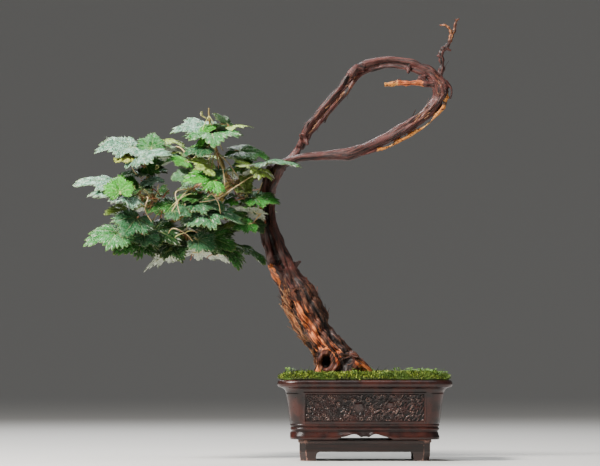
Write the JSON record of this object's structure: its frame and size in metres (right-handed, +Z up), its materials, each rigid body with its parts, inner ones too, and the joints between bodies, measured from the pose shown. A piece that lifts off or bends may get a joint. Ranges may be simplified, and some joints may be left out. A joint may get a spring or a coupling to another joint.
{
  "type": "grapevine bonsai",
  "caption": "Grapevine trained as a bonsai: a stout trunk rises to a bare overhead loop beside a low leafy crown, in a relief-panelled rectangular pot on a low wooden stand.",
  "frame": {"origin": "middle of the bounding box on the table top, to the left of the pot's middle because the crown leans to the left", "axes": "+Z up; +X to the right along the pot's long side, away from the leafy crown; the front with the trunk's hollow knot faces -Y"},
  "size_m": [0.6028, 0.2782, 0.6913],
  "materials": {
    "stand_wood": "dark stained and lacquered wood, worn pale along the corners",
    "pot_clay": "fired dark red-brown clay, satin, glossier on the rim and on the relief panels",
    "screen_plastic": "matte dark mesh",
    "soil": "damp granular bonsai soil",
    "moss": "low olive green moss cushion",
    "bark": "shaggy stringy grapevine bark with bare orange wood in places",
    "leaf": "fresh lobed and toothed grape leaves, satin above and paler beneath"
  },
  "bodies": {
    "root": {"stand": "stand_wood", "pot": "pot_clay", "drain_screen_left": "screen_plastic", "drain_screen_right": "screen_plastic", "soil": "soil", "moss": "moss", "vine_wood": "bark", "shoot_upper_left": "leaf", "shoot_top": "leaf", "shoot_left": "leaf", "shoot_lower_left": "leaf", "shoot_bottom_left": "leaf", "shoot_bottom_right": "leaf", "shoot_right": "leaf", "shoot_upper_right": "leaf", "shoot_centre": "leaf", "shoot_trunk_side": "leaf", "shoot_rear_upper": "leaf", "shoot_rear_left": "leaf", "shoot_rear_lower": "leaf", "shoot_rear_right": "leaf"}
  },
  "joints": []
}
